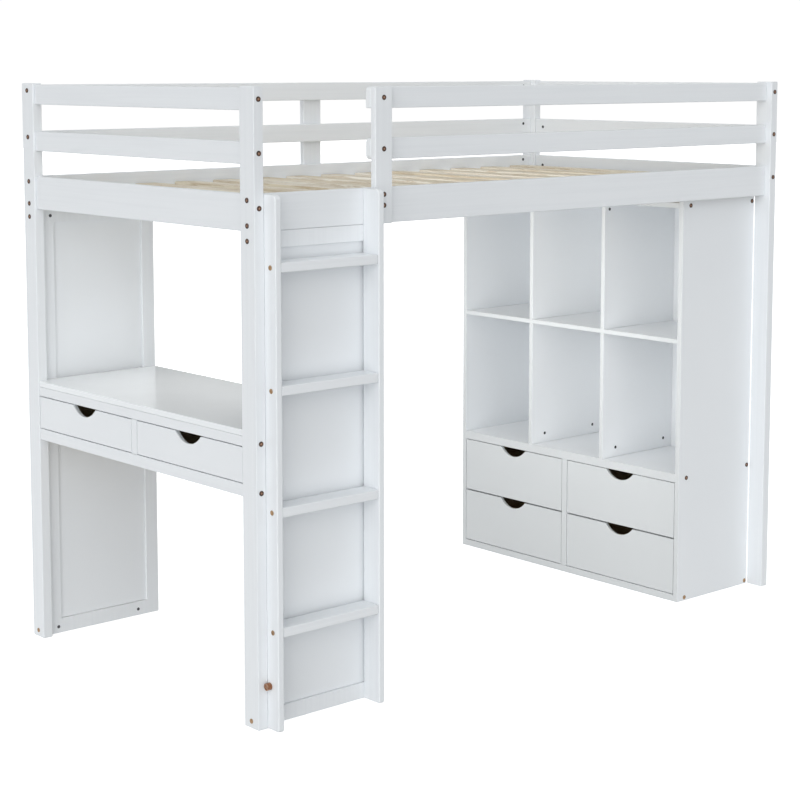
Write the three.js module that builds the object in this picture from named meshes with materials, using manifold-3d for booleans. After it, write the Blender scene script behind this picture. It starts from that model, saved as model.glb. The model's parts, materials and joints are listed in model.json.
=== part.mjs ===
// Loft bed with a desk under one end and a bookcase under the other.
//
// Millimetres, +Z up. Every piece is laid out from the outer floor corner of the post at
// the desk end on the ladder side: x runs along the bed, y runs across it from the ladder
// side to the back. The whole bed is then centred over the floor. Boards that meet keep a
// hairline gap, FIT, as screwed boards do. The six drawers slide out along -x.

import * as THREE from 'three';
import { mergeVertices } from 'three/addons/utils/BufferGeometryUtils.js';
import Module from 'manifold-3d';

const wasm = await Module();
wasm.setup();

// ---- driving dimensions ------------------------------------------------------------

const FIT = 0.3;               // hairline gap between boards that meet

// bed frame
const LENGTH = 2020;           // over the outer faces of the posts, along x
const WIDTH = 1080;            // over the outer faces of the posts, along y
const HEIGHT = 1592;           // floor to the tops of the posts
const POST_THICK = 29;         // along x
const POST_DEEP = 58;          // along y
const RAIL_THICK = 20;         // side rails and guard rails of the long sides
const RAIL_INSET = 19;         // outer post face to outer rail face, long sides
const END_RAIL_THICK = 18;     // rails of the two short ends
const END_RAIL_INSET = 6;      // outer post face to outer rail face, short ends
const BED_RAIL_DROP = 260;     // post top down to the top of the bed rails
const BED_RAIL_HIGH = 92;
const GUARD_HIGH = 55;
const GUARD_DROP = 4;          // post top down to the top of the upper guard rail
const MID_GUARD_DROP = 134;    // post top down to the top of the middle guard rail
const GATE_GAP = 8.7;          // ladder to the front guard rails
const GUARD_CORNER = 12;       // rounded corner of the guard rails at the ladder
const FRONT_UPRIGHT_WIDE = 57;
const BACK_UPRIGHT_WIDE = 70;
const BACK_UPRIGHT_OFF = 20;   // its centre line past the middle of the bed

// mattress base
const SLAT_DROP = 34;          // bed rail top down to the slats
const SLAT_THICK = 18;
const SLAT_WIDE = 70;
const SLAT_MARGIN = 35.7;      // post to the first slat
const SLATS_PER_ROLL = 7;
const LEDGER_RISE = 6;         // bed rail bottom up to a ledger's underside
const LEDGER_THICK = 22;
const SLAT_END_GAP = 3;        // slat end to the inner face of a side rail
const TAPE_WIDE = 20;
const TAPE_THICK = 1.5;
const TAPE_FROM_END = 120;     // slat end to the middle of a tape

// ladder
const STILE_THICK = 18;
const STILE_PROUD = 44;        // how far the stiles stand in front of the posts
const STILE_CORNER = 14;       // rounded front corner at the top
const STILE_FOOT_CORNER = 6;
const LADDER_CLEAR = 310;      // between the stiles
const RUNG_COUNT = 4;
const RUNG_THICK = 25;
const RUNG_SET_BACK = 2;       // rung front behind the stile front
const FIRST_RUNG_TOP = 263;
const LAST_RUNG_DROP = 164.2;  // bed rail top down to the last rung

// frame-and-panel sides under the desk end of the bed
const PANEL_PAST_LADDER = 34;  // how far the panels reach past the ladder, along x
const PANEL_THICK = 20;
const PANEL_MEMBER = 42;       // width of the frame's stiles and rails
const PANEL_RECESS = 7;        // infill below the frame's faces

// desk
const DESK_HIGH = 751;
const DESK_TOP_THICK = 16;
const DESK_FRONT_INSET = 2;    // outer post face to the desk's front
const DESK_RAIL_THICK = 18;
const DESK_APRON_HIGH = 26;
const DESK_DRAWER_SPACE = 94;  // apron down to the lower rail
const DESK_LOWER_RAIL_HIGH = 32;
const DESK_DIVIDER_THICK = 24;
const DESK_BACK_THICK = 16;
const DESK_BACK_INSET = 9;     // panel edge to the back board's outer face
const DESK_FLOOR_THICK = 12;

// bookcase
const CASE_DEEP = 338;
const CASE_POST_GAP = 1;       // side board to post
const CASE_SIDE_THICK = 16;
const CASE_DIVIDER_THICK = 15;
const CASE_TOP_THICK = 16;
const CASE_TOP_DROP = 10;      // bed rail down to the top board
const CASE_BACK_THICK = 6;
const CASE_BASE_THICK = 21.5;
const CASE_DECK_TOP = 399;
const CASE_DECK_THICK = 26;
const CASE_SHELF_TOP = 815;
const CASE_SHELF_THICK = 13;
const CASE_DRAWER_DIVIDER_THICK = 21;
const RUNNER_WIDE = 12;
const RUNNER_HIGH = 18;
const RUNNER_RISE = 8;         // bottom of a drawer space to the top of its runner

// drawers
const FACE_THICK = 16;
const FACE_GAP = 1.5;          // around a drawer face
const PULL_WIDE = 114;         // finger cut-out in the top edge of a face
const PULL_DEEP = 27;
const PULL_LIP = 6;            // thickness left at the cut-out's rim
const PULL_RELIEF = 5;         // how far the back is routed away past the rim
const PULL_SEGMENTS = 24;
const TRAY_WALL = 12;
const TRAY_FLOOR = 6;
const TRAY_RIM_GAP = 2;        // bottom of the routed finger cut-out down to the tray's rim
const TRAY_SIDE_GAP = 3;       // face side to the tray's side
const TRAY_RUN_GAP = 0.5;      // tray above what it slides on
const TRAY_BACK_GAP = 14;      // tray back to the board behind it

// ---- places worked out from them ---------------------------------------------------

const BED_RAIL_TOP = HEIGHT - BED_RAIL_DROP;
const BED_RAIL_BOTTOM = BED_RAIL_TOP - BED_RAIL_HIGH;
const TOP_GUARD_TOP = HEIGHT - GUARD_DROP;
const MID_GUARD_TOP = HEIGHT - MID_GUARD_DROP;
const SLAT_TOP = BED_RAIL_TOP - SLAT_DROP;
const INNER_X = [POST_THICK + FIT, LENGTH - POST_THICK - FIT];      // between the posts
const INNER_Y = [POST_DEEP + FIT, WIDTH - POST_DEEP - FIT];
const FRONT_RAIL_Y = [RAIL_INSET, RAIL_INSET + RAIL_THICK];
const BACK_RAIL_Y = [WIDTH - RAIL_INSET - RAIL_THICK, WIDTH - RAIL_INSET];
const LADDER_X = [INNER_X[0], INNER_X[0] + LADDER_CLEAR + 2 * STILE_THICK];
const LADDER_BACK = RAIL_INSET - FIT;
const GATE_END = LADDER_X[1] + GATE_GAP;

// ---- finishes ----------------------------------------------------------------------

const PAINT = { color: 0xe3e7ea, roughness: 0.38, metalness: 0 };
const GLOSS_PAINT = { color: 0xe6eaec, roughness: 0.16, metalness: 0 };
const PINE = { color: 0xe6d3ae, roughness: 0.62, metalness: 0 };
const PLY = { color: 0xcdb894, roughness: 0.7, metalness: 0 };

// ---- helpers -----------------------------------------------------------------------

const bed = new THREE.Group();
bed.position.set(-LENGTH / 2, -(WIDTH - STILE_PROUD) / 2, 0);

function add(name, geometry, finish, place = [0, 0, 0]) {
  const mesh = new THREE.Mesh(geometry, new THREE.MeshStandardMaterial(finish));
  mesh.name = name;
  mesh.position.set(...place);
  bed.add(mesh);
}

// A plain board that fills the box between x, y and z ranges.
function board(name, x, y, z, finish = PAINT) {
  const middle = [x, y, z].map(([low, high]) => (low + high) / 2);
  add(name, boxGeometry(x, y, z), finish, middle);
}

function boxGeometry(x, y, z) {
  return new THREE.BoxGeometry(x[1] - x[0], y[1] - y[0], z[1] - z[0]);
}

// A range with both its ends moved inwards.
function shrink([low, high], by) {
  return [low + by, high - by];
}

// A closed outline, drawn with straight edges through its points.
function outline(points) {
  return new THREE.Shape(points.map(([u, v]) => new THREE.Vector2(u, v)));
}

function rectangle([u0, u1], [v0, v1]) {
  return outline([[u0, v0], [u1, v0], [u1, v1], [u0, v1]]);
}

// Extrudes a shape drawn in x and z from y[1] back to y[0].
function extrudeAcross(shape, y, segments = 8) {
  const geometry = new THREE.ExtrudeGeometry(shape, {
    depth: y[1] - y[0], bevelEnabled: false, curveSegments: segments });
  const turn = new THREE.Matrix4().makeBasis(
    new THREE.Vector3(1, 0, 0), new THREE.Vector3(0, 0, 1), new THREE.Vector3(0, -1, 0));
  turn.setPosition(0, y[1], 0);
  return geometry.applyMatrix4(turn);
}

// Extrudes a shape drawn in y and z from x[0] to x[1].
function extrudeAlong(shape, x, segments = 8) {
  const geometry = new THREE.ExtrudeGeometry(shape, {
    depth: x[1] - x[0], bevelEnabled: false, curveSegments: segments });
  const turn = new THREE.Matrix4().makeBasis(
    new THREE.Vector3(0, 1, 0), new THREE.Vector3(0, 0, 1), new THREE.Vector3(1, 0, 0));
  turn.setPosition(x[0], 0, 0);
  return geometry.applyMatrix4(turn);
}

// Extrudes a shape drawn in x and y from z[0] up to z[1].
function extrudeUp(shape, z) {
  const geometry = new THREE.ExtrudeGeometry(shape, { depth: z[1] - z[0], bevelEnabled: false });
  return geometry.translate(0, 0, z[0]);
}

// A closed geometry as a solid that can be joined and cut.
function solidOf(geometry) {
  const bare = geometry.clone();
  bare.deleteAttribute('normal');
  bare.deleteAttribute('uv');
  const merged = mergeVertices(bare);
  return new wasm.Manifold(new wasm.Mesh({
    numProp: 3,
    vertProperties: new Float32Array(merged.attributes.position.array),
    triVerts: new Uint32Array(merged.index.array),
  }));
}

function solidBox(x, y, z) {
  const middle = [x, y, z].map(([low, high]) => (low + high) / 2);
  return solidOf(boxGeometry(x, y, z).translate(...middle));
}

function geometryOf(solid) {
  const mesh = solid.getMesh();
  const geometry = new THREE.BufferGeometry();
  geometry.setAttribute('position', new THREE.BufferAttribute(mesh.vertProperties, 3));
  geometry.setIndex(new THREE.BufferAttribute(mesh.triVerts, 1));
  geometry.computeVertexNormals();
  return geometry;
}

// ---- bed frame ---------------------------------------------------------------------

function posts() {
  const z = [0, HEIGHT];
  const ends = { desk: [0, POST_THICK], shelf: [LENGTH - POST_THICK, LENGTH] };
  const sides = { front: [0, POST_DEEP], back: [WIDTH - POST_DEEP, WIDTH] };
  for (const [end, x] of Object.entries(ends)) {
    for (const [side, y] of Object.entries(sides)) board(`post_${end}_${side}`, x, y, z);
  }
}

// Guard rails and bed rails of the two short ends, all between the posts.
function endRails() {
  const ends = {
    desk: [END_RAIL_INSET, END_RAIL_INSET + END_RAIL_THICK],
    shelf: [LENGTH - END_RAIL_INSET - END_RAIL_THICK, LENGTH - END_RAIL_INSET],
  };
  for (const [end, x] of Object.entries(ends)) {
    board(`${end}_end_guard_top`, x, INNER_Y, [TOP_GUARD_TOP - GUARD_HIGH, TOP_GUARD_TOP]);
    board(`${end}_end_guard_mid`, x, INNER_Y, [MID_GUARD_TOP - GUARD_HIGH, MID_GUARD_TOP]);
    board(`${end}_end_bed_rail`, x, INNER_Y, [BED_RAIL_BOTTOM, BED_RAIL_TOP]);
  }
}

function backSide() {
  const x = INNER_X;
  const y = BACK_RAIL_Y;
  const middle = LENGTH / 2 + BACK_UPRIGHT_OFF;
  const half = BACK_UPRIGHT_WIDE / 2;
  board('back_guard_top', x, y, [TOP_GUARD_TOP - GUARD_HIGH, TOP_GUARD_TOP]);
  board('back_guard_mid', x, y, [MID_GUARD_TOP - GUARD_HIGH, MID_GUARD_TOP]);
  board('back_side_rail', x, y, [BED_RAIL_BOTTOM, BED_RAIL_TOP]);
  board('back_guard_upright', [middle - half, middle + half],
    [y[1] + FIT, WIDTH], [BED_RAIL_BOTTOM, TOP_GUARD_TOP]);
}

// A guard rail that starts at the ladder with its top corner, or both corners, rounded.
function gateRail(name, top, roundBottom) {
  const [x0, x1] = [GATE_END, INNER_X[1]];
  const bottom = top - GUARD_HIGH;
  const shape = new THREE.Shape();
  shape.moveTo(x1, bottom);
  shape.lineTo(x1, top);
  shape.lineTo(x0 + GUARD_CORNER, top);
  shape.absarc(x0 + GUARD_CORNER, top - GUARD_CORNER, GUARD_CORNER, Math.PI / 2, Math.PI, false);
  if (roundBottom) {
    shape.absarc(x0 + GUARD_CORNER, bottom + GUARD_CORNER, GUARD_CORNER,
      Math.PI, Math.PI * 1.5, false);
  } else {
    shape.lineTo(x0, bottom);
  }
  shape.closePath();
  add(name, extrudeAcross(shape, FRONT_RAIL_Y), PAINT);
}

function frontSide() {
  gateRail('front_guard_top', TOP_GUARD_TOP, false);
  gateRail('front_guard_mid', MID_GUARD_TOP, true);
  board('front_side_rail', INNER_X, FRONT_RAIL_Y, [BED_RAIL_BOTTOM, BED_RAIL_TOP]);
  board('front_guard_upright', [GATE_END, GATE_END + FRONT_UPRIGHT_WIDE],
    [0, RAIL_INSET - FIT], [BED_RAIL_BOTTOM, TOP_GUARD_TOP]);
}

// ---- mattress base -----------------------------------------------------------------

function ledgers() {
  const top = SLAT_TOP - SLAT_THICK - TAPE_THICK - FIT;
  const z = [BED_RAIL_BOTTOM + LEDGER_RISE, top];
  const front = FRONT_RAIL_Y[1] + FIT;
  const back = BACK_RAIL_Y[0] - FIT;
  board('slat_ledger_front', INNER_X, [front, front + LEDGER_THICK], z, PINE);
  board('slat_ledger_back', INNER_X, [back - LEDGER_THICK, back], z, PINE);
}

// Slats joined by two tapes on their undersides, as they come in a roll.
function slatRoll(name, slats) {
  const y = [FRONT_RAIL_Y[1] + SLAT_END_GAP, BACK_RAIL_Y[0] - SLAT_END_GAP];
  const underside = SLAT_TOP - SLAT_THICK;
  const tapeX = [slats[0][0], slats[slats.length - 1][1]];
  const tapeZ = [underside - TAPE_THICK, underside + FIT];
  const tapes = [y[0] + TAPE_FROM_END, y[1] - TAPE_FROM_END].map((middle) => (
    solidBox(tapeX, [middle - TAPE_WIDE / 2, middle + TAPE_WIDE / 2], tapeZ)));
  let roll = solidBox(slats[0], y, [underside, SLAT_TOP]).add(tapes[0]).add(tapes[1]);
  for (const x of slats.slice(1)) roll = roll.add(solidBox(x, y, [underside, SLAT_TOP]));
  add(name, geometryOf(roll), PINE);
}

function mattressBase() {
  ledgers();
  const count = 2 * SLATS_PER_ROLL;
  const firstX = INNER_X[0] + SLAT_MARGIN;
  const pitch = (INNER_X[1] - SLAT_MARGIN - SLAT_WIDE - firstX) / (count - 1);
  const slats = Array.from({ length: count }, (_, i) => {
    const x = firstX + i * pitch;
    return [x, x + SLAT_WIDE];
  });
  slatRoll('slat_roll_desk_end', slats.slice(0, SLATS_PER_ROLL));
  slatRoll('slat_roll_shelf_end', slats.slice(SLATS_PER_ROLL));
}

// ---- ladder ------------------------------------------------------------------------

function stile(name, x0) {
  const top = BED_RAIL_TOP;
  const front = -STILE_PROUD;
  const foot = STILE_FOOT_CORNER;
  const shape = new THREE.Shape();
  shape.moveTo(front + foot, 0);
  shape.lineTo(LADDER_BACK, 0);
  shape.lineTo(LADDER_BACK, top);
  shape.lineTo(front + STILE_CORNER, top);
  shape.absarc(front + STILE_CORNER, top - STILE_CORNER, STILE_CORNER, Math.PI / 2, Math.PI, false);
  shape.absarc(front + foot, foot, foot, Math.PI, Math.PI * 1.5, false);
  shape.closePath();
  add(name, extrudeAlong(shape, [x0, x0 + STILE_THICK]), PAINT);
}

function ladder() {
  const [x0, x1] = shrink(LADDER_X, STILE_THICK);
  const pitch = (BED_RAIL_TOP - LAST_RUNG_DROP - FIRST_RUNG_TOP) / (RUNG_COUNT - 1);
  stile('ladder_stile_outer', LADDER_X[0]);
  stile('ladder_stile_inner', x1);
  for (let i = 0; i < RUNG_COUNT; i += 1) {
    const top = FIRST_RUNG_TOP + i * pitch;
    board(`ladder_rung_${i + 1}`, shrink([x0, x1], FIT),
      [RUNG_SET_BACK - STILE_PROUD, LADDER_BACK], [top - RUNG_THICK, top]);
  }
}

// ---- frame-and-panel sides ---------------------------------------------------------

const PANEL_X = [INNER_X[0], LADDER_X[1] + PANEL_PAST_LADDER];
const PANEL_Z = [0, BED_RAIL_BOTTOM - FIT];
const FRONT_PANEL_Y = [RAIL_INSET, RAIL_INSET + PANEL_THICK];
const BACK_PANEL_Y = [WIDTH - RAIL_INSET - PANEL_THICK, WIDTH - RAIL_INSET];

function sidePanel(side, y) {
  const frame = rectangle(PANEL_X, PANEL_Z);
  frame.holes.push(rectangle(shrink(PANEL_X, PANEL_MEMBER), shrink(PANEL_Z, PANEL_MEMBER)));
  add(`panel_frame_${side}`, extrudeAcross(frame, y), PAINT);
  board(`panel_infill_${side}`, shrink(PANEL_X, PANEL_MEMBER + FIT), shrink(y, PANEL_RECESS),
    shrink(PANEL_Z, PANEL_MEMBER + FIT));
}

// ---- drawers -----------------------------------------------------------------------

// One drawer in the space between y and z ranges, its face flush with x = front. It runs
// on a surface at runZ, and the board behind it starts at x = back.
function drawer(name, front, back, y, z, runZ) {
  const faceY = shrink(y, FACE_GAP);
  const faceZ = shrink(z, FACE_GAP);
  drawerFace(`${name}_face`, [front, front + FACE_THICK], faceY, faceZ);
  const trayX = [front + FACE_THICK + FIT, back - TRAY_BACK_GAP];
  const trayZ = [runZ + TRAY_RUN_GAP, faceZ[1] - PULL_DEEP - PULL_RELIEF - TRAY_RIM_GAP];
  drawerTray(`${name}_tray`, trayX, shrink(faceY, TRAY_SIDE_GAP), trayZ);
}

// Outline of a finger cut-out in y and z: a segment of a circle below the chord at
// z = top, carried on above it.
function pullOutline(middle, top, wide, deep) {
  const half = wide / 2;
  const radius = (half * half + deep * deep) / (2 * deep);
  const reach = Math.asin(half / radius);
  const down = -Math.PI / 2;
  const shape = new THREE.Shape();
  shape.moveTo(middle - half, top + deep);
  shape.absarc(middle, top - deep + radius, radius, down - reach, down + reach, false);
  shape.lineTo(middle + half, top + deep);
  shape.closePath();
  return shape;
}

// The cut-out is in the middle of the top edge. It goes right through, and behind its
// rim the back of the face is routed away a little further.
function drawerFace(name, x, y, z) {
  const middle = (y[0] + y[1]) / 2;
  const rim = pullOutline(middle, z[1], PULL_WIDE, PULL_DEEP);
  const relief = pullOutline(middle, z[1], PULL_WIDE + 2 * PULL_RELIEF, PULL_DEEP + PULL_RELIEF);
  const throughX = shrink(x, -FACE_THICK);
  const reliefX = [x[0] + PULL_LIP, throughX[1]];
  const face = solidBox(x, y, z)
    .subtract(solidOf(extrudeAlong(rim, throughX, PULL_SEGMENTS)))
    .subtract(solidOf(extrudeAlong(relief, reliefX, PULL_SEGMENTS)));
  add(name, geometryOf(face), PAINT);
}

function drawerTray(name, x, y, z) {
  const inside = solidBox(shrink(x, TRAY_WALL), shrink(y, TRAY_WALL),
    [z[0] + TRAY_FLOOR, z[1] + TRAY_WALL]);
  add(name, geometryOf(solidBox(x, y, z).subtract(inside)), PLY);
}

// ---- desk --------------------------------------------------------------------------

const DESK_X = [DESK_FRONT_INSET, PANEL_X[1]];
const DESK_Y = [FRONT_PANEL_Y[1] + FIT, BACK_PANEL_Y[0] - FIT];
const DESK_UNDERSIDE = DESK_HIGH - DESK_TOP_THICK;
const DESK_SPACE_Z = [
  DESK_UNDERSIDE - DESK_APRON_HIGH - DESK_DRAWER_SPACE,
  DESK_UNDERSIDE - DESK_APRON_HIGH,
];
const DESK_RAIL_X = [DESK_FRONT_INSET, DESK_FRONT_INSET + DESK_RAIL_THICK];
const DESK_BACK_X = [
  PANEL_X[1] - DESK_BACK_INSET - DESK_BACK_THICK,
  PANEL_X[1] - DESK_BACK_INSET,
];

// A board between the side panels that is notched around the two posts.
function notchedBoard(name, [x0, x1], z, finish) {
  const notchX = POST_THICK + FIT;
  const shape = outline([
    [x0, INNER_Y[0]], [notchX, INNER_Y[0]], [notchX, DESK_Y[0]], [x1, DESK_Y[0]],
    [x1, DESK_Y[1]], [notchX, DESK_Y[1]], [notchX, INNER_Y[1]], [x0, INNER_Y[1]],
  ]);
  add(name, extrudeUp(shape, z), finish);
}

function deskDivider(y) {
  const [x0, behindRails] = [DESK_RAIL_X[0], DESK_RAIL_X[1] + FIT];
  const x1 = DESK_BACK_X[0] - FIT;
  const [z0, z1] = shrink(DESK_SPACE_Z, FIT);
  const top = DESK_UNDERSIDE - FIT;
  const shape = outline([
    [x0, z0], [x1, z0], [x1, top], [behindRails, top], [behindRails, z1], [x0, z1],
  ]);
  add('desk_divider', extrudeAcross(shape, y), PAINT);
}

function desk() {
  const [spaceBottom, spaceTop] = DESK_SPACE_Z;
  const lowerBottom = spaceBottom - DESK_LOWER_RAIL_HIGH;
  const floorX = [DESK_RAIL_X[1] + FIT, DESK_BACK_X[0] - FIT];
  notchedBoard('desk_top', DESK_X, [DESK_UNDERSIDE, DESK_HIGH], GLOSS_PAINT);
  board('desk_apron', DESK_RAIL_X, INNER_Y, [spaceTop, DESK_UNDERSIDE - FIT]);
  board('desk_lower_rail', DESK_RAIL_X, INNER_Y, [lowerBottom, spaceBottom]);
  notchedBoard('desk_floor', floorX, [spaceBottom - DESK_FLOOR_THICK, spaceBottom], PLY);
  board('desk_back', DESK_BACK_X, DESK_Y, [lowerBottom, DESK_UNDERSIDE - FIT]);

  const middle = WIDTH / 2;
  const dividerY = [middle - DESK_DIVIDER_THICK / 2, middle + DESK_DIVIDER_THICK / 2];
  deskDivider(dividerY);
  const spaces = [[INNER_Y[0], dividerY[0]], [dividerY[1], INNER_Y[1]]];
  spaces.forEach((y, i) => {
    drawer(`desk_drawer_${i + 1}`, DESK_RAIL_X[0], DESK_BACK_X[0], y, DESK_SPACE_Z, spaceBottom);
  });
}

// ---- bookcase ----------------------------------------------------------------------

const CASE_X = [INNER_X[1] - CASE_DEEP, INNER_X[1]];
const CASE_Y = [POST_DEEP + CASE_POST_GAP, WIDTH - POST_DEEP - CASE_POST_GAP];
const CASE_INNER_Y = shrink(CASE_Y, CASE_SIDE_THICK + FIT);
const CASE_BACK_X = [CASE_X[1] - CASE_BACK_THICK, CASE_X[1]];
const CASE_BOARD_X = [CASE_X[0], CASE_BACK_X[0] - FIT];       // front edge to back panel
const CASE_TOP_Z = [
  BED_RAIL_BOTTOM - CASE_TOP_DROP - CASE_TOP_THICK,
  BED_RAIL_BOTTOM - CASE_TOP_DROP,
];
const CASE_DRAWERS_Z = [CASE_BASE_THICK, CASE_DECK_TOP - CASE_DECK_THICK];
const CASE_ROW_HIGH = (CASE_DRAWERS_Z[1] - CASE_DRAWERS_Z[0]) / 2;
const RUNNER_TOP = CASE_DRAWERS_Z[0] + CASE_ROW_HIGH + RUNNER_RISE;

// A runner for an upper drawer, glued to the face at y = wall on the side that it faces.
function runner(wall, side) {
  const y = side > 0 ? [wall - FIT, wall + RUNNER_WIDE] : [wall - RUNNER_WIDE, wall + FIT];
  const x = [CASE_X[0] + FACE_THICK + TRAY_WALL, CASE_BOARD_X[1] - TRAY_BACK_GAP];
  return solidBox(x, y, [RUNNER_TOP - RUNNER_HIGH, RUNNER_TOP]);
}

function caseSides() {
  const z = [0, BED_RAIL_BOTTOM - FIT];
  const front = [CASE_Y[0], CASE_Y[0] + CASE_SIDE_THICK];
  const back = [CASE_Y[1] - CASE_SIDE_THICK, CASE_Y[1]];
  const frontSolid = solidBox(CASE_X, front, z).add(runner(front[1], 1));
  const backSolid = solidBox(CASE_X, back, z).add(runner(back[0], -1));
  add('bookcase_side_front', geometryOf(frontSolid), PAINT);
  add('bookcase_side_back', geometryOf(backSolid), PAINT);
}

// The middle shelf and the two dividers cross in halving joints: the shelf is slotted
// from the back and the dividers from the front.
function caseLattice() {
  const [x0, x1] = CASE_BOARD_X;
  const middleX = (x0 + x1) / 2;
  const shelfZ = [CASE_SHELF_TOP - CASE_SHELF_THICK, CASE_SHELF_TOP];
  const bay = (CASE_INNER_Y[1] - CASE_INNER_Y[0] - 2 * CASE_DIVIDER_THICK) / 3;
  const dividers = [1, 2].map((i) => {
    const low = CASE_INNER_Y[0] + i * bay + (i - 1) * CASE_DIVIDER_THICK;
    return [low, low + CASE_DIVIDER_THICK];
  });

  const shelf = [[x0, CASE_INNER_Y[0]], [x1, CASE_INNER_Y[0]]];
  for (const [low, high] of dividers) {
    shelf.push([x1, low - FIT], [middleX, low - FIT], [middleX, high + FIT], [x1, high + FIT]);
  }
  shelf.push([x1, CASE_INNER_Y[1]], [x0, CASE_INNER_Y[1]]);
  add('bookcase_shelf', extrudeUp(outline(shelf), shelfZ), PAINT);

  const [z0, z1] = [CASE_DECK_TOP + FIT, CASE_TOP_Z[0] - FIT];
  const [slot0, slot1] = [shelfZ[0] - FIT, shelfZ[1] + FIT];
  const slotEnd = middleX + FIT;
  const divider = outline([
    [x0, z0], [x1, z0], [x1, z1], [x0, z1],
    [x0, slot1], [slotEnd, slot1], [slotEnd, slot0], [x0, slot0],
  ]);
  dividers.forEach((y, i) => {
    add(`bookcase_divider_${i + 1}`, extrudeAcross(divider, y), PAINT);
  });
}

function caseDrawers() {
  const middle = WIDTH / 2;
  const half = CASE_DRAWER_DIVIDER_THICK / 2;
  const dividerY = [middle - half, middle + half];
  const solid = solidBox(CASE_BOARD_X, dividerY, shrink(CASE_DRAWERS_Z, FIT))
    .add(runner(dividerY[0], -1))
    .add(runner(dividerY[1], 1));
  add('bookcase_drawer_divider', geometryOf(solid), PAINT);

  const columns = [[CASE_INNER_Y[0], dividerY[0]], [dividerY[1], CASE_INNER_Y[1]]];
  const [bottom, top] = CASE_DRAWERS_Z;
  const rows = {
    lower: { z: [bottom, bottom + CASE_ROW_HIGH], runZ: bottom },
    upper: { z: [bottom + CASE_ROW_HIGH, top], runZ: RUNNER_TOP },
  };
  for (const [row, { z, runZ }] of Object.entries(rows)) {
    columns.forEach((y, i) => {
      drawer(`bookcase_drawer_${row}_${i + 1}`, CASE_X[0], CASE_BOARD_X[1], y, z, runZ);
    });
  }
}

function bookcase() {
  caseSides();
  board('bookcase_top', CASE_BOARD_X, CASE_INNER_Y, CASE_TOP_Z);
  board('bookcase_deck', CASE_BOARD_X, CASE_INNER_Y, [CASE_DRAWERS_Z[1], CASE_DECK_TOP]);
  board('bookcase_base', CASE_BOARD_X, CASE_INNER_Y, [0, CASE_BASE_THICK]);
  board('bookcase_back', CASE_BACK_X, CASE_INNER_Y, [0, CASE_TOP_Z[1]]);
  caseLattice();
  caseDrawers();
}

// ---- the whole bed -----------------------------------------------------------------

posts();
endRails();
backSide();
frontSide();
mattressBase();
ladder();
sidePanel('front', FRONT_PANEL_Y);
sidePanel('back', BACK_PANEL_Y);
desk();
bookcase();

export default bed;
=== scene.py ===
# %% [markdown]
# # A white loft bed with a desk and a bookcase
# The bed is already built as a fixed frame of boards. This lesson gives each board what a
# painter and a fitter would give it: eased edges, satin paint, real slats, and hardware.
# Everything is in metres, with x along the bed, y across it and z up.

# %% Load the frame
import json
import math

import bpy
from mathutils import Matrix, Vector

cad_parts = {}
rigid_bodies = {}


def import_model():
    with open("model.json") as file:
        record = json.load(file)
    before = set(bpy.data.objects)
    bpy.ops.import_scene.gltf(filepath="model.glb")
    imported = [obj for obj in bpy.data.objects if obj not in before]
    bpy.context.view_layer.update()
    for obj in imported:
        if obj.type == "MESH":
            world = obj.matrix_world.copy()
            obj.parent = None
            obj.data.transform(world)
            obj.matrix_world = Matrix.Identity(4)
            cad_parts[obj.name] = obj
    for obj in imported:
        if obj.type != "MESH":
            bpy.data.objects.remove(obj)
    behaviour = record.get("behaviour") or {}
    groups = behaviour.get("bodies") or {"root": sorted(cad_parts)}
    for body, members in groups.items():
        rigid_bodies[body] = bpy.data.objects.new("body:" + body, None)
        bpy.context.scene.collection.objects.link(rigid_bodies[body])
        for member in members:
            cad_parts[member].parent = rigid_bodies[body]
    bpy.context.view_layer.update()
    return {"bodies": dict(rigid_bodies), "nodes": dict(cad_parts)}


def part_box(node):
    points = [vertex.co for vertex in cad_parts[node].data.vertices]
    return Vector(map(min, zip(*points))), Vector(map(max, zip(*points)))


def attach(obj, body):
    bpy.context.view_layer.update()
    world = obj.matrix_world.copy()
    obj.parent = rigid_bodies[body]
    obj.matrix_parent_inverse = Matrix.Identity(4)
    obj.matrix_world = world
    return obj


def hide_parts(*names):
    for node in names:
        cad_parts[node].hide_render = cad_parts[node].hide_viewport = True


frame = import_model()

NODES = sorted(frame["nodes"])
MAIN_BODY = "bed_frame"
MM = 0.001
print("boards in the frame:", len(NODES))

# %% [markdown]
# ## The camera
# A catalogue view of furniture is taken from far away with a long lens, at about the height
# of the bed's guard rails, so that upright posts stay nearly upright. A small lens shift
# keeps them parallel without tilting the camera far down.

# %% Camera
CAMERA_PLACE = (-3.7448, -4.1549, 1.6365)
CAMERA_YAW = 41.355       # from +Y towards +X
CAMERA_PITCH = 6.417      # downwards
CAMERA_LENS = 85.17
CAMERA_SHIFT = -0.15

bpy.ops.object.camera_add(
    location=CAMERA_PLACE,
    rotation=(math.radians(90 - CAMERA_PITCH), 0, -math.radians(CAMERA_YAW)),
)
camera = bpy.context.object
camera.name = "camera"
camera.data.lens = CAMERA_LENS
camera.data.sensor_width = 36
camera.data.shift_y = CAMERA_SHIFT
camera.data.clip_end = 100
bpy.context.scene.camera = camera
print("camera lens in mm:", camera.data.lens)

# %% [markdown]
# ## The studio
# White furniture on white needs soft light from all round, or every shelf turns grey. Six
# lamps are as far away as the sun but as wide as softboxes: three in front, which make the
# desk's end lighter than the ladder's side, one at the shelf's end, one behind the bed, and
# one overhead. A faint even sky fills what they leave, and two small panels light the
# cubbies and the desk top, which the bed shades. The floor glows for the camera only: it
# neither shades the lamps nor lights the boards.

# %% Sky
SKY_LIGHT = 0.24
SKY_TINT = (0.95, 0.98, 1.0, 1)
SKY_SEEN = 1.02           # the white that the camera sees behind the bed

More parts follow.
